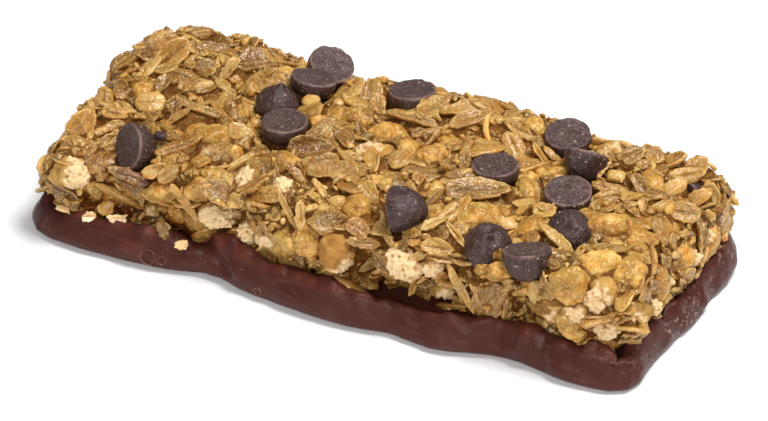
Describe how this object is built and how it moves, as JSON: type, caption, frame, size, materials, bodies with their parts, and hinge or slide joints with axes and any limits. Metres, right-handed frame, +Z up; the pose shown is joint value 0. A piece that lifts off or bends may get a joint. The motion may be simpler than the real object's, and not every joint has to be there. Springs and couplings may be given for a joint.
{
  "type": "granola bar",
  "caption": "Pressed bar of rolled oats and puffed crisps on a wavy chocolate foot, with small chocolate chips bedded in its top.",
  "frame": {"origin": "centre of the bar's box, on the surface that the bar rests on", "axes": "+X along the bar, +Y across it, +Z up from the chocolate foot to the oats"},
  "size_m": [0.0892, 0.0381, 0.0178],
  "materials": {
    "chocolate": "satin milk chocolate",
    "pressed_oats": "oat flakes and crisps with a thin glossy syrup",
    "chip_chocolate": "dull dark chocolate with a faint bloom"
  },
  "bodies": {
    "root": {"chocolate_base": "chocolate", "granola": "pressed_oats", "chip_01": "chip_chocolate", "chip_02": "chip_chocolate", "chip_03": "chip_chocolate", "chip_04": "chip_chocolate", "chip_05": "chip_chocolate", "chip_06": "chip_chocolate", "chip_07": "chip_chocolate", "chip_08": "chip_chocolate", "chip_09": "chip_chocolate", "chip_10": "chip_chocolate", "chip_11": "chip_chocolate", "chip_12": "chip_chocolate", "chip_13": "chip_chocolate", "chip_14": "chip_chocolate", "chip_15": "chip_chocolate"}
  },
  "joints": []
}
